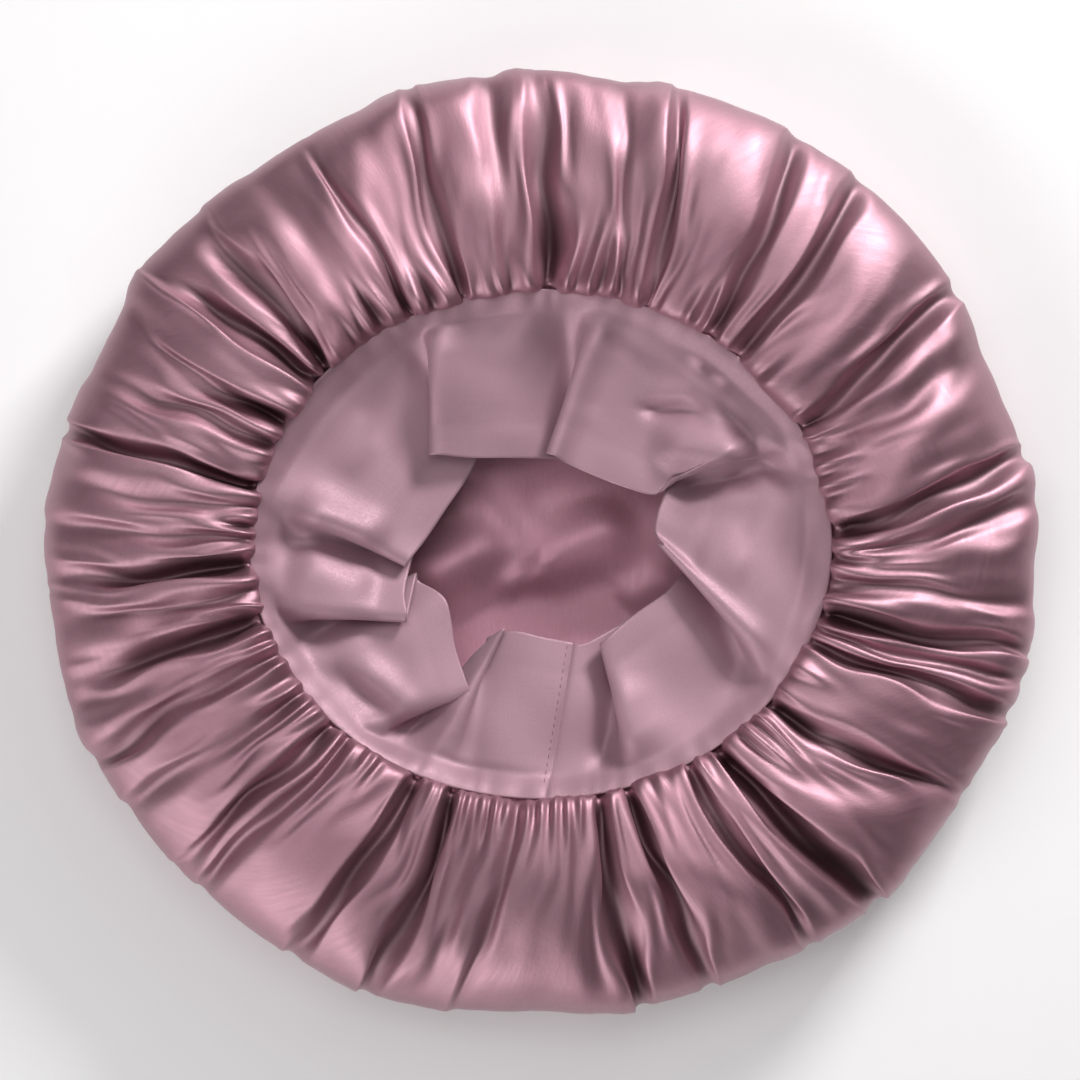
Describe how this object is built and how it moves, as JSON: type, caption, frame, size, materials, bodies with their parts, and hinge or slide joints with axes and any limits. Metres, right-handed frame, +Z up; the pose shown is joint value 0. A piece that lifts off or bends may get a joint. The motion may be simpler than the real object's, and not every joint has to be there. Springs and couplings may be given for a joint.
{
  "type": "sleep bonnet",
  "caption": "Gathered satin sleep bonnet lying on its crown, with a wide soft band folded in over a lined bag that opens upward for the head.",
  "frame": {"origin": "middle of the footprint, on the surface that the bonnet lies on", "axes": "+Z up out of the head opening, +X along the longer width, +Y away from the band's back seam"},
  "size_m": [0.3306, 0.3144, 0.0602],
  "materials": {
    "satin": "glossy mauve satin",
    "lining_satin": "soft sheen mauve satin, a little darker",
    "band_cloth": "matte mauve cloth"
  },
  "bodies": {
    "root": {"crown_outer": "satin", "crown_lining": "lining_satin", "head_band": "band_cloth"}
  },
  "joints": []
}
